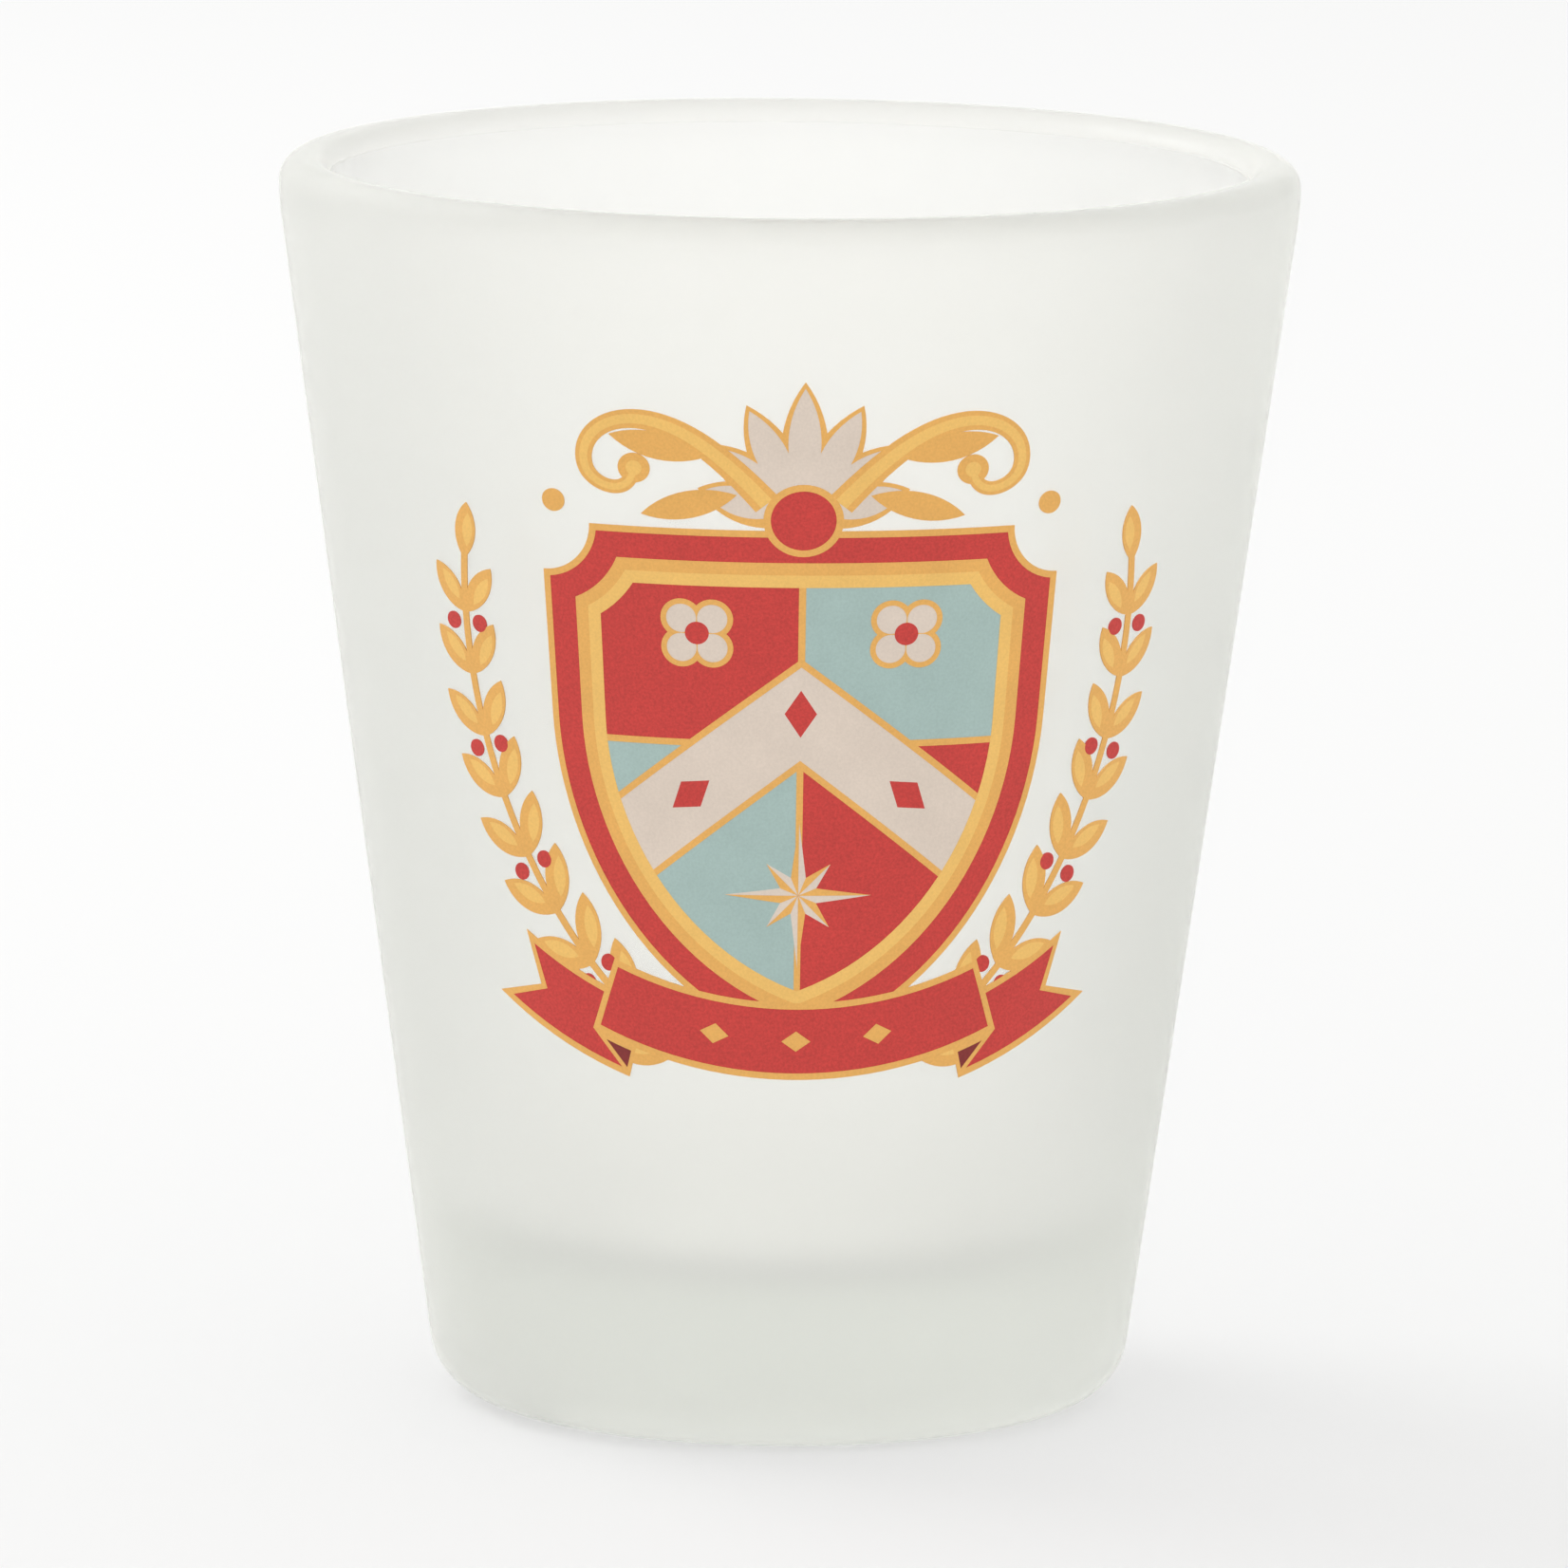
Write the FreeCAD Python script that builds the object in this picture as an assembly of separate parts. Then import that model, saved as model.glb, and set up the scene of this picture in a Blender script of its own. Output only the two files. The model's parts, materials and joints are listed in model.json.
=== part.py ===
import FreeCAD, Part
import math
import os

# Frosted souvenir shot glass with a printed crest. Millimetres, +Z up.
# The origin is the centre of the base, and the crest faces -Y.

# --- glass ---------------------------------------------------------------------------------------
HEIGHT = 60.0
FOOT_CONE_RADIUS = 16.51      # outer cone carried down to the table
MOUTH_CONE_RADIUS = 24.72     # outer cone carried up to the rim
HEEL_RADIUS = 3.0             # round between the wall and the underside
LIP_RADIUS = 1.22             # full-round lip
LIP_EASE_RADIUS = 12.0        # bends the wall upright just below the lip
STANDING_RING_INNER = 10.6    # the flat ring that the glass stands on
PUNT_DEPTH = 0.8              # hollow under the base
BOWL_TOP_WALL = 2.42          # wall thickness just below the lip
BOWL_FOOT_RADIUS = 14.1       # inner wall carried down to the floor of the bowl
FLOOR_HEIGHT = 7.3            # floor of the bowl above the table, on the axis
FLOOR_RISE = 0.5              # the floor dishes up about this much before its corner
BOWL_CORNER_RADIUS = 3.2      # round between the inner wall and the floor
FLOOR_START_DEGREES = 6.0     # direction on that round, from straight down, where the floor begins

# --- films ---------------------------------------------------------------------------------------
COAT_THICKNESS = 0.06         # frosting over the outside
COAT_START_DEGREES = 16.0     # where it starts on the heel, measured from straight down
COAT_LAP = 0.2                # how far it reaches past the lip, down the bowl
INK_THICKNESS = 0.05
GOLD_THICKNESS = 0.06         # the gold is printed last and stands a little prouder

# --- crest, drawn flat: x along the wall from the crest's centre line, y up the slant -------------
CREST_HEIGHT = 35.0           # height of the crest's centre above the table
SHIELD_HALF_WIDTH = 12.0
SHIELD_TOP = 10.4
SHIELD_SPRING = 1.0           # the straight sides end here and the point begins
SHIELD_POINT = -15.0
SHIELD_EAR_RADIUS = 2.4       # scooped upper corners
SHIELD_EAR_DEGREES = 225.0    # from the right-hand scoop's centre, towards the shield's middle
HAIRLINE = 0.32
FOLD_HAIRLINE = 0.22          # the ribbon's small folds have a finer line
BORDER_INSET = 1.55
FRAME_RIDGE_INSET = 2.15
FIELD_INSET = 2.75

CHEVRON_PEAK = 3.3
CHEVRON_DROP = 7.2            # fall of each leg from the peak to the shield's edge
CHEVRON_WIDTH = 3.6
LOZENGE_WAY = 0.56            # how far along each leg of the chevron its lozenge lies
LOZENGE_LENGTH = 2.3
LOZENGE_WIDTH = 1.5
ROSETTE_CENTRE = (4.75, 5.35)
ROSETTE_PETAL_RADIUS = 0.95
ROSETTE_PETAL_OFFSET = 1.0
ROSETTE_OUTLINE = 0.26
ROSETTE_HEART_RADIUS = 0.55
STAR_CENTRE_Y = -7.4
STAR_POINTS = 8
STAR_LONG_RADIUS = 3.6
STAR_SHORT_RADIUS = 2.2
STAR_WAIST_RADIUS = 0.95

LAUREL_FOOT = (6.2, -15.3)
LAUREL_WAIST = (14.6, -5.0)
LAUREL_TIP = (16.4, 8.4)
LAUREL_PAIRS = 9
STEM_WIDTH = 0.36
LEAF_LENGTH = 3.7             # of the lowest leaves
LEAF_WIDTH = 1.45
LEAF_BELLY = 0.46             # where any leaf is widest, along its length
LEAF_SHORTENING = 0.28        # the leaves at the tip of the branch are this much shorter
LEAF_NARROWING = 0.22         # and this much narrower
LEAF_LEAN_DEGREES = 34.0
LIGHT_WIDTH = 0.5             # the lit part of a leaf or scroll, against the whole
LIGHT_LENGTH = 0.6
LIGHT_SHIFT = (0.22, 0.13)    # along the leaf's length and across its width
BERRY_RADIUS = 0.42
BERRY_OFFSET = 0.8
BERRY_WAY = 0.84              # how far from one pair of leaves to the next

PALMETTE_CENTRE_Y = 10.9
PALMETTE_PETALS = 7
PALMETTE_SPREAD_DEGREES = 24.0
PALMETTE_LENGTH = 6.7
PALMETTE_SHRINK = 0.62        # each petal outward from the middle is this much shorter
PALMETTE_WIDTH = 2.0
PETAL_OUTLINE = 0.3
PETAL_FOOT_GAP = 1.02         # gold between the palmette's centre and the foot of a petal
BOSS_RADIUS = 1.75

SCROLL_START = (1.6, 11.7)
SCROLL_HEADING_DEGREES = 50.0
SCROLL_LENGTH = 14.2
SCROLL_BENDS = (-0.03, -1.12) # bend per millimetre at the root and at the eye
SCROLL_WIDTHS = (1.25, 0.6)
SCROLL_EYE_RADIUS = 0.72
SCROLL_STEPS = 40             # straight steps that work out the volute's sides
SCROLL_POINT_EVERY = 4        # of those steps, every fourth gives a point of each side
SCROLL_LEAVES = ((4.2, 13.9, 12.0), (2.9, 12.1, -14.0))   # foot x, foot y and direction in degrees
SCROLL_LEAF_SIZE = (4.4, 1.3)
SCROLL_BEAD = (11.3, 11.4, 0.55)                          # x, y and radius

RIBBON_RADIUS = 27.0          # curve of the ribbon's centre line
RIBBON_LOW = -14.6            # its lowest point
RIBBON_HALF_HEIGHT = 1.9
RIBBON_END_DEGREES = 22.0
TAIL_START_DEGREES = 17.0
TAIL_END_DEGREES = 33.0
TAIL_DROP = 1.5
TAIL_NOTCH_DEGREES = 4.0
TAIL_END_INSET = 2.2          # the tail's slanting end moves in by this many times the inset
TAIL_NOTCH_INSET = 1.2        # and the foot of its notch by this many times
STUD_STEP_DEGREES = 9.0       # between the lozenges along the ribbon
STUD_SIZE = (1.5, 1.0)

SMALLEST_PATCH = 0.02         # slivers under this area are not printed

# --- derived -------------------------------------------------------------------------------------
SLOPE = math.atan((MOUTH_CONE_RADIUS - FOOT_CONE_RADIUS) / HEIGHT)
CREST_RADIUS = FOOT_CONE_RADIUS + CREST_HEIGHT * math.tan(SLOPE)
CREST_SLANT = CREST_HEIGHT / math.cos(SLOPE)
FRONT_ANGLE = math.pi

Vector = FreeCAD.Vector
AXIS_Z = Vector(0, 0, 1)


# --- outlines ------------------------------------------------------------------------------------
def flat(x, y):
    """A point of the flat artwork."""
    return Vector(x, y, 0)


def polar(centre, radius, angle):
    return centre + Vector(radius * math.cos(angle), radius * math.sin(angle), 0)


def line(start, end):
    return Part.LineSegment(start, end).toShape()


def arc(start, middle, end):
    return Part.Arc(start, middle, end).toShape()


def face(edges):
    """Flat face inside a closed outline; in the artwork it faces up, so that faces can be merged."""
    wire = Part.Wire(Part.sortEdges(edges)[0])
    filled = Part.Face(wire)
    if filled.normalAt(0, 0).z < 0:
        wire.reverse()
        filled = Part.Face(wire)
    return filled


def polygon(points):
    return face([line(start, end) for start, end in zip(points, points[1:] + points[:1])])


def disc(x, y, radius):
    return face([Part.Circle(flat(x, y), AXIS_Z, radius).toShape()])


def mirrored(shape):
    """The same artwork on the other side of the crest's centre line."""
    return shape.mirror(flat(0, 0), Vector(1, 0, 0))


def both_sides(shape):
    return shape.fuse(mirrored(shape))


def united(shapes):
    return shapes[0].multiFuse(shapes[1:]).removeSplitter()


# --- glass and frosting --------------------------------------------------------------------------
def wall_radius(offset, height):
    """Radius of the outer cone at a height, when it is moved outward by offset."""
    return FOOT_CONE_RADIUS + height * math.tan(SLOPE) + offset / math.cos(SLOPE)


def section(radius, height):
    return Vector(radius, 0, height)


def on_circle(centre, radius, degrees):
    """Point at an angle from straight down, turning outward."""
    angle = math.radians(degrees)
    return centre + Vector(radius * math.sin(angle), 0, -radius * math.cos(angle))


def section_arc(centre, radius, from_degrees, to_degrees):
    middle = (from_degrees + to_degrees) / 2
    return arc(
        on_circle(centre, radius, from_degrees),
        on_circle(centre, radius, middle),
        on_circle(centre, radius, to_degrees),
    )


def dome(rim, crown_height):
    """Arc from a rim point to its crown on the axis, with its centre on the axis."""
    rise = crown_height - rim.z
    radius = (rim.x ** 2 + rise ** 2) / (2 * rise)
    centre_height = crown_height - radius
    half_angle = math.asin(rim.x / radius) / 2
    middle = section(
        abs(radius * math.sin(half_angle)), centre_height + radius * math.cos(half_angle)
    )
    return arc(rim, middle, section(0, crown_height))


def heel_centre():
    return section(wall_radius(-HEEL_RADIUS, HEEL_RADIUS), HEEL_RADIUS)


def lip_centre():
    """The lip's circle touches the upright end of the eased wall and the rim plane."""
    height = HEIGHT - LIP_RADIUS
    ease_fall = LIP_EASE_RADIUS * math.sin(SLOPE)
    ease_out = LIP_EASE_RADIUS * (1 - math.cos(SLOPE))
    outside = wall_radius(0, height - ease_fall) + ease_out
    return section(outside - LIP_RADIUS, height)


def ease_centre():
    lip = lip_centre()
    return section(lip.x + LIP_RADIUS - LIP_EASE_RADIUS, lip.z)


def wall_degrees():
    """Direction of the outer wall's normal, from straight down."""
    return 90 - math.degrees(SLOPE)


def outside_edges(offset, start_degrees):
    """Heel, wall, eased top and outer half of the lip, moved outward by offset."""
    heel = section_arc(heel_centre(), HEEL_RADIUS + offset, start_degrees, wall_degrees())
    ease = section_arc(ease_centre(), LIP_EASE_RADIUS + offset, wall_degrees(), 90)
    lip = section_arc(lip_centre(), LIP_RADIUS + offset, 90, 180)
    wall = line(heel.Vertexes[-1].Point, ease.Vertexes[0].Point)
    return [heel, wall, ease, lip]


def bowl_slope():
    inside_top = lip_centre().x + LIP_RADIUS - BOWL_TOP_WALL
    return math.atan((inside_top - BOWL_FOOT_RADIUS) / (lip_centre().z - FLOOR_HEIGHT))


def lip_inside_edge(offset):
    """Inner half of the lip, from its top to where the bowl's wall leaves it."""
    return section_arc(lip_centre(), LIP_RADIUS + offset, 180, 270 - math.degrees(bowl_slope()))


def bowl_wall_end(offset, fall):
    """Point on the bowl's wall, this far down the slant below the lip."""
    start = lip_inside_edge(offset).Vertexes[-1].Point
    slope = bowl_slope()
    return start - Vector(fall * math.sin(slope), 0, fall * math.cos(slope))


def bowl_edges():
    """Inner wall, corner and dished floor, ending on the axis."""
    slope = bowl_slope()
    wall_start = lip_inside_edge(0).Vertexes[-1].Point
    corner_height = FLOOR_HEIGHT + FLOOR_RISE + BOWL_CORNER_RADIUS
    fall = (wall_start.z - corner_height) / math.cos(slope) + BOWL_CORNER_RADIUS * math.tan(slope)
    wall_end = bowl_wall_end(0, fall)
    normal = Vector(-math.cos(slope), 0, math.sin(slope))
    centre = wall_end + normal * BOWL_CORNER_RADIUS
    wall_direction = 90 - math.degrees(slope)
    corner = section_arc(centre, BOWL_CORNER_RADIUS, wall_direction, FLOOR_START_DEGREES)
    floor_start = corner.Vertexes[-1].Point
    return [line(wall_start, wall_end), corner, dome(floor_start, FLOOR_HEIGHT)]


def underside_edges():
    """Shallow punt and the flat standing ring, from the axis out to the heel."""
    ring_start = section(STANDING_RING_INNER, 0)
    ring_end = on_circle(heel_centre(), HEEL_RADIUS, 0)
    return [
        dome(ring_start, PUNT_DEPTH),
        line(ring_start, ring_end),
    ]


def revolved(edges):
    return face(edges).revolve(Vector(0, 0, 0), AXIS_Z, 360)


def glass_body():
    edges = underside_edges() + outside_edges(0, 0) + [lip_inside_edge(0)] + bowl_edges()
    edges.append(line(section(0, FLOOR_HEIGHT), section(0, PUNT_DEPTH)))
    return revolved(edges)


def frost_coat():
    """Even film from the heel up over the lip, ending a little way down the bowl."""
    skins = []
    for offset in (0, COAT_THICKNESS):
        lip = lip_inside_edge(offset)
        lap = line(lip.Vertexes[-1].Point, bowl_wall_end(offset, COAT_LAP))
        skins.append(outside_edges(offset, COAT_START_DEGREES) + [lip, lap])
    foot = line(skins[0][0].Vertexes[0].Point, skins[1][0].Vertexes[0].Point)
    end = line(skins[0][-1].Vertexes[-1].Point, skins[1][-1].Vertexes[-1].Point)
    return revolved([foot] + skins[1] + [end] + list(reversed(skins[0])))


# --- wrapping flat artwork round the wall --------------------------------------------------------
def cone_at(offset):
    """The outer cone moved outward by offset, with its seam at the back."""
    cone = Part.Cone(
        Vector(0, 0, 0), Vector(0, 0, HEIGHT), wall_radius(offset, 0), wall_radius(offset, HEIGHT)
    )
    cone.rotate(FreeCAD.Placement(Vector(0, 0, 0), AXIS_Z, 180))
    return cone


def cone_curve(edge):
    """A flat edge as a curve in the cone's own angle and slant."""
    first, last = edge.ParameterRange
    spline = edge.Curve.toBSpline(first, last)
    poles = []
    for pole in spline.getPoles():
        angle = FRONT_ANGLE + pole.x / CREST_RADIUS
        poles.append(FreeCAD.Base.Vector2d(angle, CREST_SLANT + pole.y))
    curve = Part.Geom2d.BSplineCurve2d()
    curve.buildFromPolesMultsKnots(
        poles,
        spline.getMultiplicities(),
        spline.getKnots(),
        False,
        spline.Degree,
        spline.getWeights(),
    )
    return curve


def wrapped_face(flat_face, cone):
    outline = None
    holes = []
    for wire in flat_face.Wires:
        wrapped = Part.Wire([cone_curve(edge).toShape(cone) for edge in wire.OrderedEdges])
        if wire.isSame(flat_face.OuterWire):
            outline = Part.Face(wrapped)
        else:
            holes.append(Part.Face(wrapped))
    for hole in holes:
        outline = outline.cut(hole).Faces[0]
    return outline


def wrapped_film(flat_face, thickness):
    """One patch of ink: the flat face laid on the frosting, with this thickness."""
    inner = cone_at(COAT_THICKNESS)
    outer = cone_at(COAT_THICKNESS + thickness)
    faces = [wrapped_face(flat_face, inner), wrapped_face(flat_face, outer)]
    for wire in flat_face.Wires:
        for edge in wire.OrderedEdges:
            curve = cone_curve(edge)
            faces.append(Part.makeRuledSurface(curve.toShape(inner), curve.toShape(outer)))
    skin = Part.makeCompound(faces)
    skin.sewShape()
    film = Part.Solid(skin.Shells[0])
    if film.Volume < 0:
        film.reverse()
    return film


# --- shield --------------------------------------------------------------------------------------
def shield(inset):
    """Shield with scooped upper corners and an ogival point, drawn this far inside its edge."""
    depth = SHIELD_SPRING - SHIELD_POINT
    sweep = (depth ** 2 + SHIELD_HALF_WIDTH ** 2) / (2 * SHIELD_HALF_WIDTH)
    centre_x = SHIELD_HALF_WIDTH - sweep
    half = SHIELD_HALF_WIDTH - inset
    top = SHIELD_TOP - inset
    point = flat(0, SHIELD_SPRING - math.sqrt((sweep - inset) ** 2 - centre_x ** 2))
    ear = SHIELD_EAR_RADIUS + inset
    reach = math.sqrt(ear ** 2 - inset ** 2)
    ear_top = flat(SHIELD_HALF_WIDTH - reach, top)
    ear_side = flat(half, SHIELD_TOP - reach)
    ear_middle = polar(flat(SHIELD_HALF_WIDTH, SHIELD_TOP), ear, math.radians(SHIELD_EAR_DEGREES))
    spring = flat(half, SHIELD_SPRING)
    turn = math.atan2(point.y - SHIELD_SPRING, -centre_x) / 2
    side_middle = polar(flat(centre_x, SHIELD_SPRING), sweep - inset, turn)
    right = [
        arc(ear_top, ear_middle, ear_side),
        line(ear_side, spring),
        arc(spring, side_middle, point),
    ]
    left = [mirrored(edge) for edge in right]
    top_edge = line(flat(-ear_top.x, top), ear_top)
    return face([top_edge] + right + left)


def quarter(side, level):
    """One quarter of the field: side is -1 or 1, level is -1 below and 1 above."""
    far = 2 * SHIELD_HALF_WIDTH
    corners = [flat(0, 0), flat(side * far, 0), flat(side * far, level * far), flat(0, level * far)]
    return shield(FIELD_INSET).common(polygon(corners))


def field_lines():
    half = HAIRLINE / 2
    far = 2 * SHIELD_HALF_WIDTH
    upright = polygon([flat(-half, -far), flat(half, -far), flat(half, far), flat(-half, far)])
    level = polygon([flat(-far, -half), flat(far, -half), flat(far, half), flat(-far, half)])
    return shield(FIELD_INSET).common(united([upright, level]))


def chevron(grow):
    """Band bent to a peak on the centre line, made wider by grow on each side."""
    reach = SHIELD_HALF_WIDTH
    fall = CHEVRON_DROP * reach / (SHIELD_HALF_WIDTH - FIELD_INSET)
    half = (CHEVRON_WIDTH / 2 + grow) * math.hypot(reach, fall) / reach
    middle = CHEVRON_PEAK - CHEVRON_WIDTH / 2
    outline = [
        flat(-reach, middle - fall + half),
        flat(0, middle + half),
        flat(reach, middle - fall + half),
        flat(reach, middle - fall - half),
        flat(0, middle - half),
        flat(-reach, middle - fall - half),
    ]
    return shield(FIELD_INSET).common(polygon(outline))


def lozenge(centre, turn, length, width):
    shape = polygon([
        flat(-length / 2, 0),
        flat(0, width / 2),
        flat(length / 2, 0),
        flat(0, -width / 2),
    ])
    shape.rotate(flat(0, 0), AXIS_Z, turn)
    shape.translate(centre)
    return shape


def lozenges():
    steepness = CHEVRON_DROP / (SHIELD_HALF_WIDTH - FIELD_INSET)
    middle = CHEVRON_PEAK - CHEVRON_WIDTH / 2
    x = LOZENGE_WAY * (SHIELD_HALF_WIDTH - FIELD_INSET)
    turn = -math.degrees(math.atan(steepness))
    leg = lozenge(flat(x, middle - steepness * x), turn, LOZENGE_LENGTH, LOZENGE_WIDTH)
    peak = lozenge(flat(0, middle), 90, LOZENGE_LENGTH, LOZENGE_WIDTH)
    return united([both_sides(leg), peak])


def rosette(grow):
    """Four round petals about one centre."""
    x, y = ROSETTE_CENTRE
    petals = [disc(x, y, ROSETTE_PETAL_OFFSET / 2 + grow)]
    for index in range(4):
        angle = math.pi / 4 + index * math.pi / 2
        petals.append(disc(
            x + ROSETTE_PETAL_OFFSET * math.cos(angle),
            y + ROSETTE_PETAL_OFFSET * math.sin(angle),
            ROSETTE_PETAL_RADIUS - ROSETTE_OUTLINE + grow,
        ))
    return united(petals)


def star():
    """Compass star, its upright and level points the longer ones."""
    points = []
    for index in range(2 * STAR_POINTS):
        radius = STAR_WAIST_RADIUS
        if index % 4 == 0:
            radius = STAR_LONG_RADIUS
        elif index % 4 == 2:
            radius = STAR_SHORT_RADIUS
        angle = math.pi / 2 + index * math.pi / STAR_POINTS
        points.append(polar(flat(0, STAR_CENTRE_Y), radius, angle))
    return polygon(points)


def star_facets():
    """The shaded half of each point of the star."""
    centre = flat(0, STAR_CENTRE_Y)
    facets = []
    for index in range(0, 2 * STAR_POINTS, 2):
        radius = STAR_LONG_RADIUS if index % 4 == 0 else STAR_SHORT_RADIUS
        angle = math.pi / 2 + index * math.pi / STAR_POINTS
        tip = polar(centre, radius, angle)
        waist = polar(centre, STAR_WAIST_RADIUS, angle - math.pi / STAR_POINTS)
        facets.append(polygon([centre, tip, waist]))
    return united(facets)


# --- ornament ------------------------------------------------------------------------------------
def leaf(foot, angle, length, width):
    """Almond of two arcs from its foot."""
    tip = polar(foot, length, angle)
    middle = polar(foot, length * LEAF_BELLY, angle)
    left = polar(middle, width / 2, angle + math.pi / 2)
    right = polar(middle, width / 2, angle - math.pi / 2)
    return face([arc(foot, left, tip), arc(tip, right, foot)])


def tapered_stroke(start, heading, bend_start, bend_end, length, width_start, width_end):
    """A stroke that bends more and more on its way, and the place of the eye at its end."""
    step = length / SCROLL_STEPS
    left = []
    right = []
    position = start
    for index in range(SCROLL_STEPS + 1):
        way = index / SCROLL_STEPS
        width = width_start + (width_end - width_start) * way
        left.append(polar(position, width / 2, heading + math.pi / 2))
        right.append(polar(position, width / 2, heading - math.pi / 2))
        bend = bend_start + (bend_end - bend_start) * way ** 2
        heading += bend * step
        position = polar(position, step, heading)
    sides = []
    for points in (left, right):
        side = Part.BSplineCurve()
        side.interpolate(points[::SCROLL_POINT_EVERY])
        sides.append(side.toShape())
    caps = [line(left[0], right[0]), line(left[-1], right[-1])]
    stroke = face(sides + caps)
    eye = (left[-1] + right[-1]) * 0.5
    return stroke, eye


def scroll_stroke(width_scale):
    """Right-hand volute on the shield's top edge."""
    return tapered_stroke(
        flat(*SCROLL_START),
        math.radians(SCROLL_HEADING_DEGREES),
        *SCROLL_BENDS,
        SCROLL_LENGTH,
        SCROLL_WIDTHS[0] * width_scale,
        SCROLL_WIDTHS[1] * width_scale,
    )


def crown_scroll():
    """The volute with its eye, two leaves that spring from its back, and a bead beyond it."""
    stroke, eye = scroll_stroke(1.0)
    shapes = [stroke, disc(eye.x, eye.y, SCROLL_EYE_RADIUS), disc(*SCROLL_BEAD)]
    for x, y, direction in SCROLL_LEAVES:
        shapes.append(leaf(flat(x, y), math.radians(direction), *SCROLL_LEAF_SIZE))
    return united(shapes)


def crown_scroll_lights():
    """Lighter gold along the middle of the volute and in its eye."""
    stroke, eye = scroll_stroke(LIGHT_WIDTH)
    return united([stroke, disc(eye.x, eye.y, SCROLL_EYE_RADIUS * LIGHT_WIDTH)])


def palmette_petals(foot_gap, outline):
    """Fan of petals, tallest in the middle, each drawn this far inside its outline."""
    petals = []
    middle = (PALMETTE_PETALS - 1) / 2
    for index in range(PALMETTE_PETALS):
        step = index - middle
        angle = math.pi / 2 - math.radians(PALMETTE_SPREAD_DEGREES) * step
        length = PALMETTE_LENGTH - PALMETTE_SHRINK * abs(step)
        foot = polar(flat(0, PALMETTE_CENTRE_Y), foot_gap, angle)
        petals.append(leaf(foot, angle, length - foot_gap - outline, PALMETTE_WIDTH - 2 * outline))
    return united(petals)


def laurel_stem():
    """Circle that the stem follows."""
    return arc(flat(*LAUREL_FOOT), flat(*LAUREL_WAIST), flat(*LAUREL_TIP)).Curve


def laurel_stroke():
    """The thin stem of the right-hand branch."""
    stem = laurel_stem()
    inner = [polar(stem.Center, stem.Radius - STEM_WIDTH / 2, angle) for angle in stem_angles()]
    outer = [polar(stem.Center, stem.Radius + STEM_WIDTH / 2, angle) for angle in stem_angles()]
    return face([
        arc(*inner),
        line(inner[-1], outer[-1]),
        arc(*reversed(outer)),
        line(outer[0], inner[0]),
    ])


def laurel_leaf_places():
    """Foot, direction, length and width of each leaf: pairs that shrink towards the tip, and one at it."""
    places = []
    for index in range(LAUREL_PAIRS):
        position, heading = along_stem(index / LAUREL_PAIRS)
        length = LEAF_LENGTH * (1 - LEAF_SHORTENING * index / LAUREL_PAIRS)
        width = LEAF_WIDTH * (1 - LEAF_NARROWING * index / LAUREL_PAIRS)
        for side in (-1, 1):
            foot = polar(position, STEM_WIDTH / 4, heading + side * math.pi / 2)
            places.append((foot, heading + side * math.radians(LEAF_LEAN_DEGREES), length, width))
    position, heading = along_stem(1)
    places.append((polar(position, -STEM_WIDTH, heading), heading, length, width))
    return places


def laurel_branch():
    """Right-hand branch."""
    return united([laurel_stroke()] + [leaf(*place) for place in laurel_leaf_places()])


def laurel_lights():
    """Lighter gold on the upper half of each leaf."""
    lights = []
    for foot, heading, length, width in laurel_leaf_places():
        shifted = polar(foot, length * LIGHT_SHIFT[0], heading)
        shifted = polar(shifted, width * LIGHT_SHIFT[1], heading + math.pi / 2)
        lights.append(leaf(shifted, heading, length * LIGHT_LENGTH, width * LIGHT_WIDTH))
    return united(lights)


def stem_angles():
    """Angles of the stem's foot, middle and tip about its centre."""
    centre = laurel_stem().Center
    first = math.atan2(LAUREL_FOOT[1] - centre.y, LAUREL_FOOT[0] - centre.x)
    last = math.atan2(LAUREL_TIP[1] - centre.y, LAUREL_TIP[0] - centre.x)
    return [first, (first + last) / 2, last]


def along_stem(way):
    """Point and direction of travel on the stem."""
    stem = laurel_stem()
    first, _, last = stem_angles()
    angle = first + (last - first) * way
    return polar(stem.Center, stem.Radius, angle), angle + math.pi / 2


def laurel_berries():
    berries = []
    for index in range(1, LAUREL_PAIRS, 2):
        position, heading = along_stem((index + BERRY_WAY) / LAUREL_PAIRS)
        for side in (-1, 1):
            berry = polar(position, BERRY_OFFSET, heading + side * math.pi / 2)
            berries.append(disc(berry.x, berry.y, BERRY_RADIUS))
    return united(berries)


def ribbon_point(shift, degrees):
    centre = flat(0, RIBBON_LOW + RIBBON_RADIUS)
    return polar(centre, RIBBON_RADIUS + shift, math.radians(degrees - 90))


def ribbon_arc(shift, start, end):
    return arc(
        ribbon_point(shift, start), ribbon_point(shift, (start + end) / 2), ribbon_point(shift, end)
    )


def ribbon_band(inset):
    """The ribbon's front."""
    high = RIBBON_HALF_HEIGHT - inset
    end = RIBBON_END_DEGREES - math.degrees(inset / RIBBON_RADIUS)
    return face([
        ribbon_arc(high, -end, end),
        line(ribbon_point(high, end), ribbon_point(-high, end)),
        ribbon_arc(-high, end, -end),
        line(ribbon_point(-high, -end), ribbon_point(high, -end)),
    ])


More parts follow.
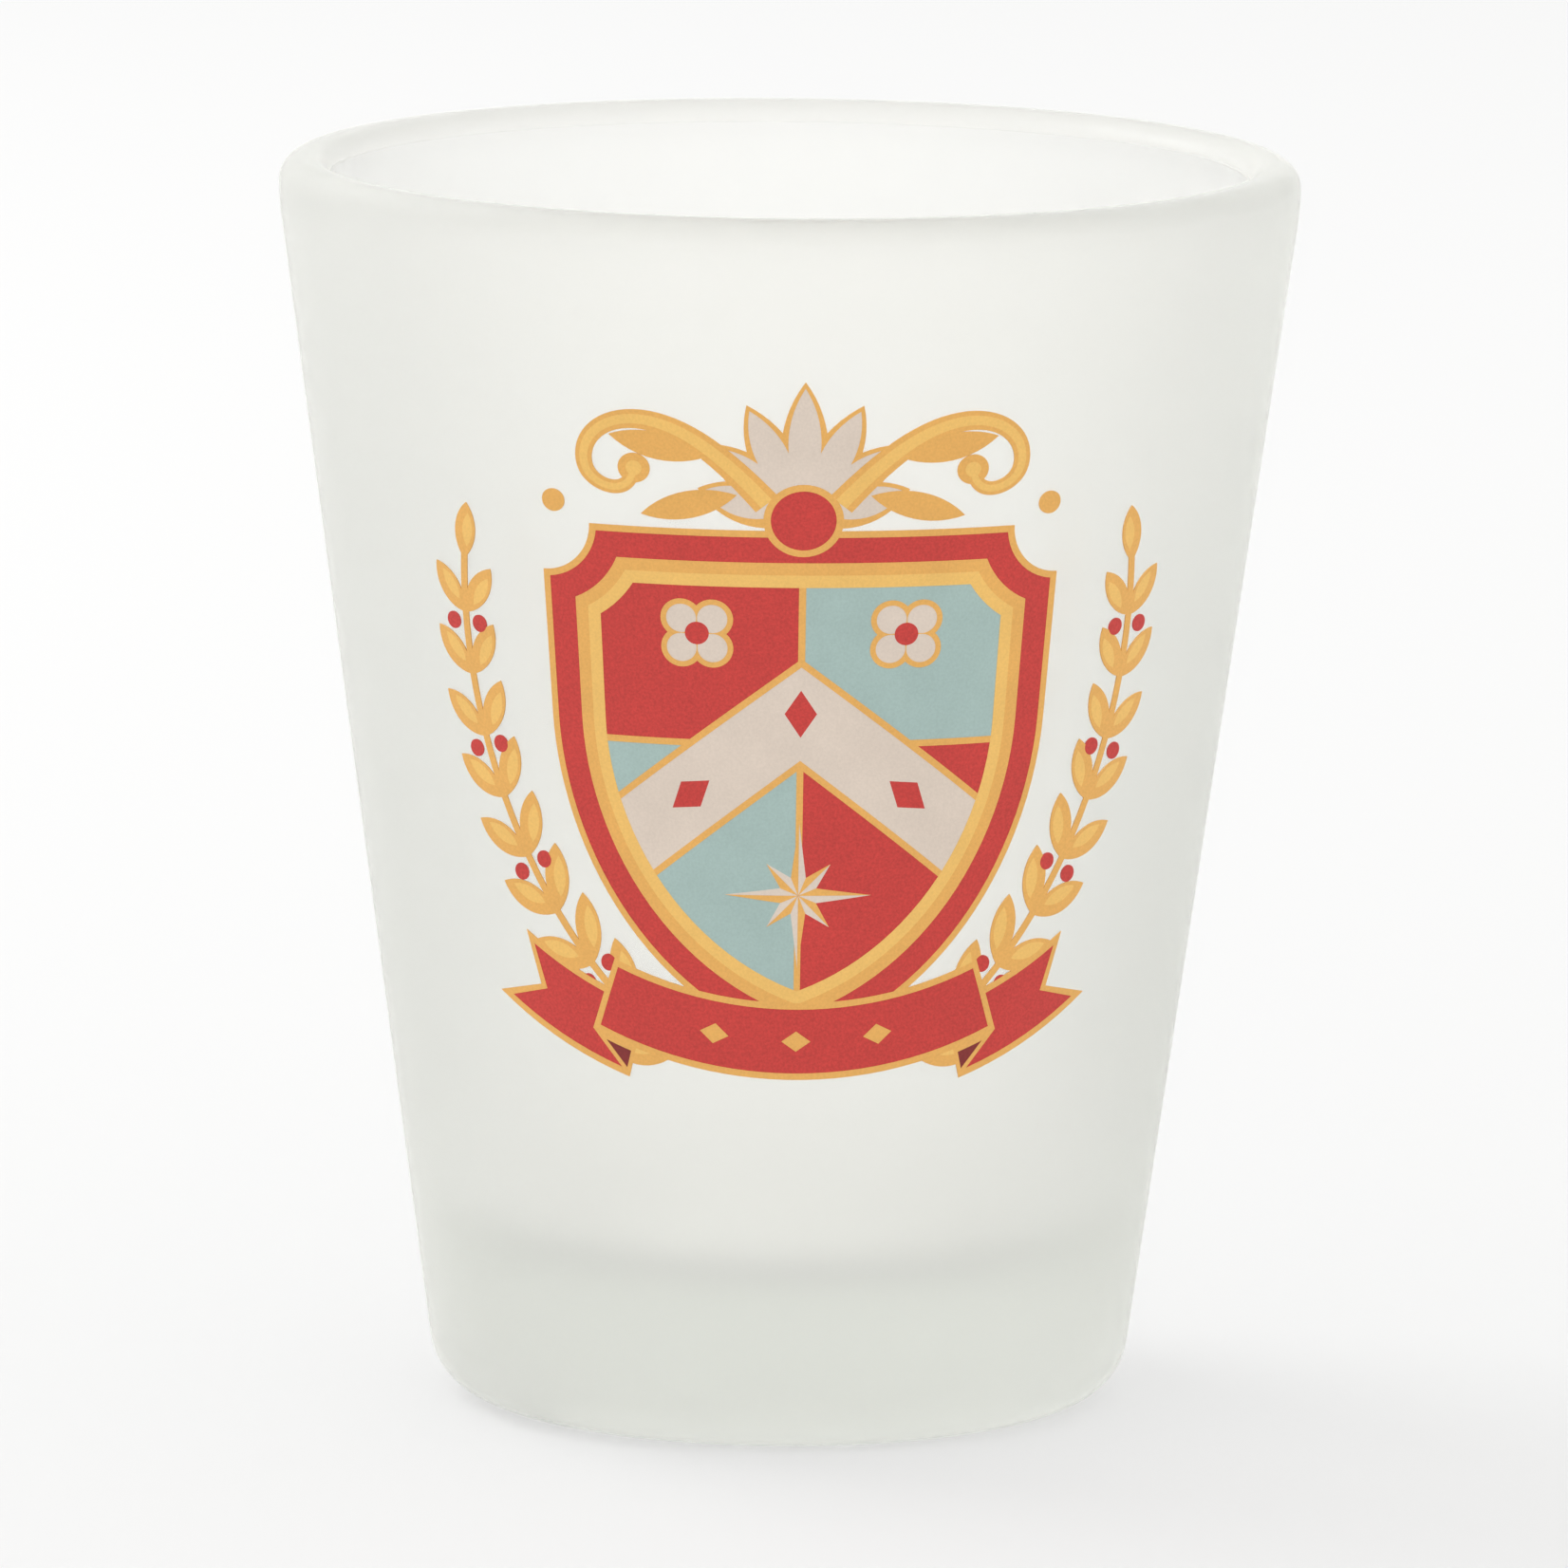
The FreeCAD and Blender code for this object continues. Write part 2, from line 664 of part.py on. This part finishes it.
def ribbon_tail(inset):
    """Right-hand tail, which comes out from behind the front and ends in a swallow tail."""
    high = RIBBON_HALF_HEIGHT - inset
    shrink = math.degrees(inset / RIBBON_RADIUS)
    start = TAIL_START_DEGREES + shrink
    end = TAIL_END_DEGREES - TAIL_END_INSET * shrink
    notch = TAIL_END_DEGREES - TAIL_NOTCH_DEGREES - TAIL_NOTCH_INSET * shrink
    return face([
        ribbon_arc(TAIL_DROP + high, start, end),
        line(ribbon_point(TAIL_DROP + high, end), ribbon_point(TAIL_DROP, notch)),
        line(ribbon_point(TAIL_DROP, notch), ribbon_point(TAIL_DROP - high, end)),
        ribbon_arc(TAIL_DROP - high, end, start),
        line(ribbon_point(TAIL_DROP - high, start), ribbon_point(TAIL_DROP + high, start)),
    ])


def ribbon_fold(inset):
    """Right-hand turned-under corner between the front and the tail."""
    low = RIBBON_HALF_HEIGHT + TAIL_DROP
    start = TAIL_START_DEGREES
    fold = face([
        ribbon_arc(RIBBON_HALF_HEIGHT, start, RIBBON_END_DEGREES),
        line(ribbon_point(RIBBON_HALF_HEIGHT, RIBBON_END_DEGREES), ribbon_point(low, start)),
        line(ribbon_point(low, start), ribbon_point(RIBBON_HALF_HEIGHT, start)),
    ])
    return fold.makeOffset2D(-inset) if inset else fold


def ribbon_studs():
    """Row of lozenges along the ribbon's front."""
    studs = []
    for step in (-1, 0, 1):
        degrees = step * STUD_STEP_DEGREES
        studs.append(lozenge(ribbon_point(0, degrees), degrees, *STUD_SIZE))
    return united(studs)


# --- the crest's layers, lowest first ------------------------------------------------------------
def crest_layers():
    """Node name, flat artwork and thickness; what is drawn later hides what is below it."""
    boss = disc(0, PALMETTE_CENTRE_Y, BOSS_RADIUS)
    boss_centre = disc(0, PALMETTE_CENTRE_Y, BOSS_RADIUS - HAIRLINE)
    branch = laurel_branch()
    tails = both_sides(ribbon_tail(0))
    tail_centres = both_sides(ribbon_tail(HAIRLINE))
    folds = both_sides(ribbon_fold(0))
    fold_centres = both_sides(ribbon_fold(FOLD_HAIRLINE))
    return [
        ("laurel_branch_left", mirrored(branch), GOLD_THICKNESS),
        ("laurel_branch_right", branch, GOLD_THICKNESS),
        ("laurel_lights", both_sides(laurel_lights()), GOLD_THICKNESS),
        ("laurel_berries", both_sides(laurel_berries()), INK_THICKNESS),
        ("palmette_outline", palmette_petals(0, 0), GOLD_THICKNESS),
        ("palmette_petals", palmette_petals(PETAL_FOOT_GAP, PETAL_OUTLINE), INK_THICKNESS),
        ("crown_scrolls", both_sides(crown_scroll()), GOLD_THICKNESS),
        ("crown_scroll_lights", both_sides(crown_scroll_lights()), GOLD_THICKNESS),
        ("ribbon_tail_edging", tails, GOLD_THICKNESS),
        ("ribbon_tails", tail_centres, INK_THICKNESS),
        ("shield_hairline", shield(0), GOLD_THICKNESS),
        ("shield_border", shield(HAIRLINE), INK_THICKNESS),
        ("shield_frame", shield(BORDER_INSET), GOLD_THICKNESS),
        ("shield_frame_bevel", shield(FRAME_RIDGE_INSET), GOLD_THICKNESS),
        ("field_red", united([quarter(-1, 1), quarter(1, -1)]), INK_THICKNESS),
        ("field_blue", united([quarter(1, 1), quarter(-1, -1)]), INK_THICKNESS),
        ("field_cross_lines", field_lines(), GOLD_THICKNESS),
        ("rosette_outlines", both_sides(rosette(ROSETTE_OUTLINE)), GOLD_THICKNESS),
        ("rosettes", both_sides(rosette(0)), INK_THICKNESS),
        ("rosette_hearts", both_sides(disc(*ROSETTE_CENTRE, ROSETTE_HEART_RADIUS)), INK_THICKNESS),
        ("chevron_edging", chevron(HAIRLINE), GOLD_THICKNESS),
        ("chevron", chevron(0), INK_THICKNESS),
        ("chevron_lozenges", lozenges(), INK_THICKNESS),
        ("compass_star", star(), GOLD_THICKNESS),
        ("compass_star_facets", star_facets(), INK_THICKNESS),
        ("palmette_boss_ring", boss, GOLD_THICKNESS),
        ("palmette_boss", boss_centre, INK_THICKNESS),
        ("ribbon_fold_edging", folds, GOLD_THICKNESS),
        ("ribbon_folds", fold_centres, INK_THICKNESS),
        ("ribbon_edging", ribbon_band(0), GOLD_THICKNESS),
        ("ribbon", ribbon_band(HAIRLINE), INK_THICKNESS),
        ("ribbon_studs", ribbon_studs(), GOLD_THICKNESS),
    ]


def uncovered(patches, cover):
    """What is left of the patches outside the cover."""
    kept = []
    for patch in patches:
        if patch.BoundBox.intersect(cover.BoundBox):
            kept.extend(patch.cut(cover).Faces)
        else:
            kept.append(patch)
    return kept


def visible_artwork():
    """Name, patches and thickness of each layer, without what the later layers print over it."""
    layers = crest_layers()
    shown = []
    for index, (name, artwork, thickness) in enumerate(layers):
        patches = artwork.Faces
        for _, later, _ in layers[index + 1:]:
            patches = uncovered(patches, later)
        patches = [patch for patch in patches if patch.Area > SMALLEST_PATCH]
        shown.append((name, patches, thickness))
    return shown


def export(name, shape):
    shape.exportStep("parts/" + name + ".step")


def main():
    os.makedirs("parts", exist_ok=True)
    export("glass_body", glass_body())
    export("frost_coat", frost_coat())
    for name, patches, thickness in visible_artwork():
        films = [wrapped_film(patch, thickness) for patch in patches]
        export("ink_" + name, Part.makeCompound(films))


main()
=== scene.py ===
"""Frosted souvenir shot glass with a printed crest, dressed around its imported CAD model."""
import json
import math

import bpy
from mathutils import Matrix, Vector


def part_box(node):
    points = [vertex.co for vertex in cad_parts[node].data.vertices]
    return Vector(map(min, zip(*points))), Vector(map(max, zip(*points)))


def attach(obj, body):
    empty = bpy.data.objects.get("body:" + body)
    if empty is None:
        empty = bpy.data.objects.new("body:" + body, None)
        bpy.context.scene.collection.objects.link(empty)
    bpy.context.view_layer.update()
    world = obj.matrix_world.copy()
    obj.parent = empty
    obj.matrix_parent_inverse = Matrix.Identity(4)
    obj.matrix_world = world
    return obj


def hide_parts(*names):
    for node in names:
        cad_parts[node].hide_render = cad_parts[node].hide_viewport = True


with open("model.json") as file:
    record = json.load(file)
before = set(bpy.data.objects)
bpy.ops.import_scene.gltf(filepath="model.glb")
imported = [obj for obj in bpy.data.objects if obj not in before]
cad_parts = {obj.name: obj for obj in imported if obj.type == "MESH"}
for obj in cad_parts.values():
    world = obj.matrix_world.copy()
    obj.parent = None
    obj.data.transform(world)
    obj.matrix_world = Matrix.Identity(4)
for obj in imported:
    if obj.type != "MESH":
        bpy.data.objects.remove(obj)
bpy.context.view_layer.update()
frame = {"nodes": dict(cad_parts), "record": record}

MM = 0.001
GLASS_LOW, GLASS_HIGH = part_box("glass_body")
HEIGHT = GLASS_HIGH.z - GLASS_LOW.z

# section of the glass, in metres
FOOT_CONE_RADIUS = 16.51 * MM
MOUTH_CONE_RADIUS = 24.72 * MM
HEEL_RADIUS = 3.0 * MM
LIP_RADIUS = 1.22 * MM
LIP_EASE_RADIUS = 12.0 * MM
RING_INNER_RADIUS = 10.6 * MM
PUNT_DEPTH = 0.8 * MM
BOWL_TOP_WALL = 2.42 * MM
BOWL_FOOT_RADIUS = 14.1 * MM
FLOOR_HEIGHT = 7.3 * MM
FLOOR_RISE = 0.5 * MM
BOWL_CORNER_RADIUS = 3.2 * MM
FLOOR_START_DEGREES = 6.0     # direction on that corner, from straight down, where the floor begins
SLOPE = math.atan((MOUTH_CONE_RADIUS - FOOT_CONE_RADIUS) / HEIGHT)

COAT_THICKNESS = 0.06 * MM
COAT_START_DEGREES = 16.0
FILM_GAP = 0.012 * MM         # keeps the glass, the frosting and the inks from sharing a surface

# how finely the section and its turn are divided
ROUND_STEPS = 256
HEEL_STEPS = 20
WALL_STEPS = 40
EASE_STEPS = 6
LIP_STEPS = 28
FADE_STEPS = 7                # of the lip's steps, the last ones, over which the frosting fades out
CORNER_STEPS = 18
DOME_STEPS = 12
RING_STEPS = 3

# camera
FOCAL_LENGTH_MM = 343.5
SENSOR_MM = 36.0
CAMERA_DISTANCE = 0.7112
CAMERA_HEIGHT = 0.1487
CAMERA_AZIMUTH_DEGREES = -2.0
CAMERA_PITCH_DEGREES = 9.51
CAMERA_ROLL_DEGREES = 0.57
CAMERA_CLIP = (0.01, 50.0)


# --- section of the glass ------------------------------------------------------------------------
def on_circle(centre, radius, degrees):
    """Point at an angle from straight down, turning outward."""
    angle = math.radians(degrees)
    return (centre[0] + radius * math.sin(angle), centre[1] - radius * math.cos(angle))


def arc(centre, radius, start, end, steps):
    return [on_circle(centre, radius, start + (end - start) * k / steps) for k in range(steps + 1)]


def straight(start, end, steps):
    """Points between two ends, without the ends."""
    points = []
    for k in range(1, steps):
        way = k / steps
        points.append((start[0] + (end[0] - start[0]) * way, start[1] + (end[1] - start[1]) * way))
    return points


def dome(rim, crown_height, steps):
    """Points from a rim to the crown on the axis, along a parabola; the rim is left out."""
    points = []
    for k in range(1, steps + 1):
        radius = rim[0] * (1 - k / steps)
        height = crown_height + (rim[1] - crown_height) * (radius / rim[0]) ** 2
        points.append((radius, height))
    return points


def wall_radius(offset, height):
    """Radius of the outer cone at a height, when it is moved outward by offset."""
    return FOOT_CONE_RADIUS + height * math.tan(SLOPE) + offset / math.cos(SLOPE)


def lip_centre():
    """The lip's circle touches the upright end of the eased wall and the rim plane."""
    height = HEIGHT - LIP_RADIUS
    ease_fall = LIP_EASE_RADIUS * math.sin(SLOPE)
    ease_out = LIP_EASE_RADIUS * (1 - math.cos(SLOPE))
    return (wall_radius(0, height - ease_fall) + ease_out - LIP_RADIUS, height)


def bowl_slope():
    inside_top = lip_centre()[0] + LIP_RADIUS - BOWL_TOP_WALL
    return math.atan((inside_top - BOWL_FOOT_RADIUS) / (lip_centre()[1] - FLOOR_HEIGHT))


def outside(offset, start_degrees):
    """Heel, wall, eased top and lip down to the bowl's wall, moved outward by offset."""
    upright = 90 - math.degrees(SLOPE)
    lip = lip_centre()
    heel_centre = (wall_radius(-HEEL_RADIUS, HEEL_RADIUS), HEEL_RADIUS)
    ease_centre = (lip[0] + LIP_RADIUS - LIP_EASE_RADIUS, lip[1])
    heel = arc(heel_centre, HEEL_RADIUS + offset, start_degrees, upright, HEEL_STEPS)
    ease = arc(ease_centre, LIP_EASE_RADIUS + offset, upright, 90, EASE_STEPS)
    lip_end = 270 - math.degrees(bowl_slope())
    rim = arc(lip, LIP_RADIUS + offset, 90, lip_end, LIP_STEPS)
    return heel + straight(heel[-1], ease[0], WALL_STEPS) + ease + rim[1:]


def bowl(start):
    """Inner wall, corner and dished floor, ending on the axis."""
    slope = bowl_slope()
    corner_height = FLOOR_HEIGHT + FLOOR_RISE + BOWL_CORNER_RADIUS
    fall = (start[1] - corner_height) / math.cos(slope) + BOWL_CORNER_RADIUS * math.tan(slope)
    wall_end = (start[0] - fall * math.sin(slope), start[1] - fall * math.cos(slope))
    centre = (
        wall_end[0] - BOWL_CORNER_RADIUS * math.cos(slope),
        wall_end[1] + BOWL_CORNER_RADIUS * math.sin(slope),
    )
    upright = 90 - math.degrees(slope)
    corner = arc(centre, BOWL_CORNER_RADIUS, upright, FLOOR_START_DEGREES, CORNER_STEPS)
    floor = dome(corner[-1], FLOOR_HEIGHT, DOME_STEPS)
    return straight(start, wall_end, WALL_STEPS) + corner + floor


def glass_section():
    """From the punt's crown round to the bowl's floor, and how many of its points are frosted."""
    heel_foot = (wall_radius(-HEEL_RADIUS, HEEL_RADIUS), 0.0)
    ring_start = (RING_INNER_RADIUS, 0.0)
    punt = list(reversed(dome(ring_start, PUNT_DEPTH, DOME_STEPS)))
    ring = [ring_start] + straight(ring_start, heel_foot, RING_STEPS)
    body = outside(0.0, 0.0)
    frosted = len(punt + ring + body) - FADE_STEPS
    return punt + ring + body + bowl(body[-1]), frosted


def coat_section():
    """Closed loop: up the outside of the film and back along the glass.
    The film thins out on the last stretch, down the inside of the lip."""
    inner = outside(FILM_GAP, COAT_START_DEGREES)
    outer = outside(COAT_THICKNESS - FILM_GAP, COAT_START_DEGREES)
    thinned = []
    for index, (low, high) in enumerate(zip(inner, outer)):
        share = min(1.0, (len(inner) - index) / FADE_STEPS)
        thinned.append((low[0] + (high[0] - low[0]) * share, low[1] + (high[1] - low[1]) * share))
    return thinned + list(reversed(inner))


# --- meshes --------------------------------------------------------------------------------------
ON_AXIS = 1e-9                # a point nearer to the axis than this is on it


def lathe(name, section, closed, frosted):
    """Turns a section about +Z; its first points, this many, are frosted.
    An open section starts and ends on the axis."""
    vertices = []
    rows = []
    frosting_levels = []
    for index, (radius, height) in enumerate(section):
        level = min(1.0, max(0.0, 1 - (index - frosted) / FADE_STEPS))
        if radius < ON_AXIS:
            frosting_levels.append(level)
            rows.append([len(vertices)] * ROUND_STEPS)
            vertices.append((0.0, 0.0, height))
            continue
        frosting_levels.extend([level] * ROUND_STEPS)
        rows.append(list(range(len(vertices), len(vertices) + ROUND_STEPS)))
        for step in range(ROUND_STEPS):
            angle = 2 * math.pi * step / ROUND_STEPS
            vertices.append((radius * math.cos(angle), radius * math.sin(angle), height))
    pairs = list(zip(rows, rows[1:]))
    if closed:
        pairs.append((rows[-1], rows[0]))
    faces = []
    for low, high in pairs:
        for step in range(ROUND_STEPS):
            following = (step + 1) % ROUND_STEPS
            corners = [low[step], low[following], high[following], high[step]]
            faces.append(list(dict.fromkeys(corners)))
    mesh = bpy.data.meshes.new(name)
    mesh.from_pydata(vertices, [], faces)
    mesh.shade_smooth()
    levels = mesh.attributes.new("frosted", "FLOAT", "POINT")
    levels.data.foreach_set("value", frosting_levels)
    piece = bpy.data.objects.new(name, mesh)
    bpy.context.scene.collection.objects.link(piece)
    return piece


# --- materials -----------------------------------------------------------------------------------
def new_material(name):
    material = bpy.data.materials.new(name)
    material.use_nodes = True
    nodes = material.node_tree.nodes
    return material, nodes, material.node_tree.links, nodes["Principled BSDF"]


def set_constants(shader, **values):
    """Sets sockets that are the same all over the surface; a name's underscores are spaces."""
    for name, value in values.items():
        shader.inputs[name.replace("_", " ")].default_value = value


def object_noise(nodes, links, scale, detail=3.0, roughness=0.5):
    """Noise over the object's own coordinates; scale is in features per metre."""
    place = nodes.new("ShaderNodeTexCoord")
    noise = nodes.new("ShaderNodeTexNoise")
    noise.inputs["Scale"].default_value = scale
    noise.inputs["Detail"].default_value = detail
    noise.inputs["Roughness"].default_value = roughness
    links.new(place.outputs["Object"], noise.inputs["Vector"])
    return noise.outputs["Fac"]


def remap(nodes, links, value, source, target):
    """The value moved from the source's range to the target's, each as (low, high)."""
    remapped = nodes.new("ShaderNodeMapRange")
    remapped.inputs["From Min"].default_value = source[0]
    remapped.inputs["From Max"].default_value = source[1]
    remapped.inputs["To Min"].default_value = target[0]
    remapped.inputs["To Max"].default_value = target[1]
    links.new(value, remapped.inputs["Value"])
    return remapped.outputs["Result"]


def bump(nodes, links, height, strength, distance):
    node = nodes.new("ShaderNodeBump")
    node.inputs["Strength"].default_value = strength
    node.inputs["Distance"].default_value = distance
    links.new(height, node.inputs["Height"])
    return node.outputs["Normal"]


NOISE_SPAN = (0.3, 0.7)       # nearly all of a noise's values lie in here
WIDE_NOISE_SPAN = (0.25, 0.75)

# glass
GLASS_TINT = (1.0, 0.998, 0.985, 1)
BOWL_ROUGHNESS = 0.15
FROSTED_ROUGHNESS = 0.62
UNEVEN_ROUGHNESS = (-0.03, 0.03)
GLASS_MOTTLE = 900.0          # features per metre, as are the other grains
ABSORPTION_COLOUR = (0.80, 0.82, 0.79, 1)
ABSORPTION_DENSITY = 50.0

# frosting
VEIL_COLOUR = (0.97, 0.96, 0.9, 1)
VEIL_ALPHA = 0.08
VEIL_ROUGHNESS = (0.7, 0.8)
VEIL_GRAIN = 9000.0
VEIL_PATCHES = 160.0


def pressed_glass():
    """Smooth inside the bowl and frosted outside, with a faint green-grey in its thickness."""
    material, nodes, links, shader = new_material("pressed_glass")
    set_constants(shader, Base_Color=GLASS_TINT, Transmission_Weight=1.0, IOR=1.45)
    set_constants(shader, Sheen_Weight=0.35, Sheen_Roughness=0.4)
    mottle = object_noise(nodes, links, GLASS_MOTTLE)
    frosted = nodes.new("ShaderNodeAttribute")
    frosted.attribute_name = "frosted"
    uneven = remap(nodes, links, mottle, NOISE_SPAN, UNEVEN_ROUGHNESS)
    level = remap(nodes, links, frosted.outputs["Fac"], (0, 1), (BOWL_ROUGHNESS, FROSTED_ROUGHNESS))
    roughness = nodes.new("ShaderNodeMath")
    roughness.operation = "ADD"
    links.new(level, roughness.inputs[0])
    links.new(uneven, roughness.inputs[1])
    links.new(roughness.outputs["Value"], shader.inputs["Roughness"])
    mottled = bump(nodes, links, mottle, strength=0.15, distance=0.02 * MM)
    links.new(mottled, shader.inputs["Normal"])
    absorption = nodes.new("ShaderNodeVolumeAbsorption")
    set_constants(absorption, Color=ABSORPTION_COLOUR, Density=ABSORPTION_DENSITY)
    links.new(absorption.outputs["Volume"], nodes["Material Output"].inputs["Volume"])
    return material


def frosting():
    """Milky satin film, so thin that it veils the glass only a little; the veil is finely grained."""
    material, nodes, links, shader = new_material("frosting")
    set_constants(shader, Base_Color=VEIL_COLOUR, Alpha=VEIL_ALPHA, IOR=1.2)
    grain = object_noise(nodes, links, VEIL_GRAIN, detail=4.0, roughness=0.6)
    patches = object_noise(nodes, links, VEIL_PATCHES)
    links.new(remap(nodes, links, patches, NOISE_SPAN, VEIL_ROUGHNESS), shader.inputs["Roughness"])
    grained = bump(nodes, links, grain, strength=0.1, distance=0.03 * MM)
    links.new(grained, shader.inputs["Normal"])
    return material


# ink: display colour, how strongly it is speckled, and roughness
INKS = {
    "ink_red": ((191, 50, 44), 0.14, 0.5),
    "ink_dark_red": ((122, 28, 26), 0.14, 0.5),
    "ink_blue": ((158, 180, 175), 0.05, 0.5),
    "ink_cream": ((212, 197, 183), 0.04, 0.5),
    "ink_gold": ((222, 166, 84), 0.06, 0.45),
    "ink_light_gold": ((230, 183, 98), 0.05, 0.45),
}
INK_GRAIN = 8000.0
INK_CLOUDS = 420.0
CLOUD_SHADES = (0.95, 1.03)
SPECK_PLACES = (0.32, 0.5, 0.68)          # of the dark specks, the plain colour and the light ones
SPECK_ROUGHNESS = (0.08, -0.06)           # added where the grain is dark and where it is light


def linear(red, green, blue):
    """Linear colour of an 8-bit display colour."""
    channels = []
    for value in (red, green, blue):
        level = value / 255
        channels.append(level / 12.92 if level < 0.04045 else ((level + 0.055) / 1.055) ** 2.4)
    return tuple(channels)


def speckled(nodes, links, grain, colour, speckle):
    """The colour, darker by the share speckle where the grain is low and lighter where it is high."""
    ramp = nodes.new("ShaderNodeValToRGB")
    stops = ramp.color_ramp.elements
    stops.new(SPECK_PLACES[1])
    for stop, place, change in zip(stops, SPECK_PLACES, (-speckle, 0.0, speckle)):
        stop.position = place
        stop.color = (*[min(1.0, level * (1 + change)) for level in colour], 1)
    links.new(grain, ramp.inputs["Fac"])
    return ramp.outputs["Color"]


def ink(name, display_colour, speckle, roughness):
    """Enamel ink: a screen-print grain of darker and lighter specks, under slow clouds."""
    material, nodes, links, shader = new_material(name)
    grain = object_noise(nodes, links, INK_GRAIN, roughness=0.6)
    clouds = object_noise(nodes, links, INK_CLOUDS)
    shade = nodes.new("ShaderNodeMix")
    shade.data_type = "RGBA"
    shade.blend_type = "MULTIPLY"
    shade.inputs["Factor"].default_value = 1.0
    links.new(speckled(nodes, links, grain, linear(*display_colour), speckle), shade.inputs["A"])
    links.new(remap(nodes, links, clouds, WIDE_NOISE_SPAN, CLOUD_SHADES), shade.inputs["B"])
    links.new(shade.outputs["Result"], shader.inputs["Base Color"])
    roughnesses = [roughness + change for change in SPECK_ROUGHNESS]
    links.new(remap(nodes, links, grain, NOISE_SPAN, roughnesses), shader.inputs["Roughness"])
    grained = bump(nodes, links, grain, strength=0.2, distance=0.015 * MM)
    links.new(grained, shader.inputs["Normal"])
    return material


def dress_inks():
    materials = {name: ink(name, *look) for name, look in INKS.items()}
    for part in frame["record"]["subparts"]:
        slot = part["material_slot"]
        if slot in materials:
            node = frame["nodes"][part["node"]]
            node.data.materials.clear()
            node.data.materials.append(materials[slot])


# --- studio --------------------------------------------------------------------------------------
FLOOR_HALF_SIZE = 6.0
FLOOR_SHADE = 0.24            # the rest of the floor's brightness is its own, which keeps shadows faint
FLOOR_GLOW = 0.52
FLOOR_ROUGHNESS = 0.9
WARM_WHITE = (1.0, 1.0, 0.995, 1)
SKY_STRENGTH = 1.25
KEY_PLACE = (-0.45, 0.35, 0.5)
KEY_TARGET = (0.0, 0.0, 0.03)
KEY_SIZE = 0.5
KEY_POWER = 3.0


def add_floor():
    material, nodes, links, shader = new_material("floor")
    set_constants(shader, Base_Color=(FLOOR_SHADE, FLOOR_SHADE, FLOOR_SHADE, 1))
    set_constants(shader, Emission_Color=WARM_WHITE, Emission_Strength=FLOOR_GLOW)
    set_constants(shader, Roughness=FLOOR_ROUGHNESS)
    mesh = bpy.data.meshes.new("floor")
    half = FLOOR_HALF_SIZE
    mesh.from_pydata(
        [(-half, -half, 0), (half, -half, 0), (half, half, 0), (-half, half, 0)], [], [(0, 1, 2, 3)]
    )
    floor = bpy.data.objects.new("floor", mesh)
    floor.data.materials.append(material)
    floor.location.z = GLASS_LOW.z
    bpy.context.scene.collection.objects.link(floor)


def add_area(name, location, target, size, power):
    light = bpy.data.lights.new(name, "AREA")
    light.shape = "DISK"
    light.size = size
    light.energy = power
    lamp = bpy.data.objects.new(name, light)
    lamp.location = location
    direction = Vector(target) - Vector(location)
    lamp.rotation_euler = direction.to_track_quat("-Z", "Y").to_euler()
    bpy.context.scene.collection.objects.link(lamp)


def add_world():
    world = bpy.data.worlds.new("studio")
    world.use_nodes = True
    background = world.node_tree.nodes["Background"]
    set_constants(background, Color=WARM_WHITE, Strength=SKY_STRENGTH)
    bpy.context.scene.world = world


def add_camera():
    camera_data = bpy.data.cameras.new("camera")
    camera_data.lens = FOCAL_LENGTH_MM
    camera_data.sensor_width = SENSOR_MM
    camera_data.clip_start, camera_data.clip_end = CAMERA_CLIP
    camera = bpy.data.objects.new("camera", camera_data)
    turn = Matrix.Rotation(math.radians(CAMERA_AZIMUTH_DEGREES), 4, "Z")
    place = Matrix.Translation((0, -CAMERA_DISTANCE, GLASS_LOW.z + CAMERA_HEIGHT))
    pitch = Matrix.Rotation(math.radians(90 - CAMERA_PITCH_DEGREES), 4, "X")
    roll = Matrix.Rotation(math.radians(CAMERA_ROLL_DEGREES), 4, "Z")
    camera.matrix_world = turn @ place @ pitch @ roll
    bpy.context.scene.collection.objects.link(camera)
    bpy.context.scene.camera = camera


# --- build ---------------------------------------------------------------------------------------
section, frosted_points = glass_section()
glass = lathe("pressed_glass", section, False, frosted_points)
glass.data.materials.append(pressed_glass())
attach(glass, "root")
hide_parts("glass_body")

film = coat_section()
coat = lathe("frosting_film", film, True, len(film))
coat.data.materials.append(frosting())
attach(coat, "root")
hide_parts("frost_coat")

dress_inks()

add_floor()
add_world()
add_area("key", KEY_PLACE, KEY_TARGET, KEY_SIZE, KEY_POWER)
add_camera()

scene = bpy.context.scene
scene.view_settings.view_transform = "Standard"
scene.cycles.max_bounces = 28
scene.cycles.transmission_bounces = 28
scene.cycles.glossy_bounces = 16
scene.cycles.diffuse_bounces = 6
scene.cycles.transparent_max_bounces = 32
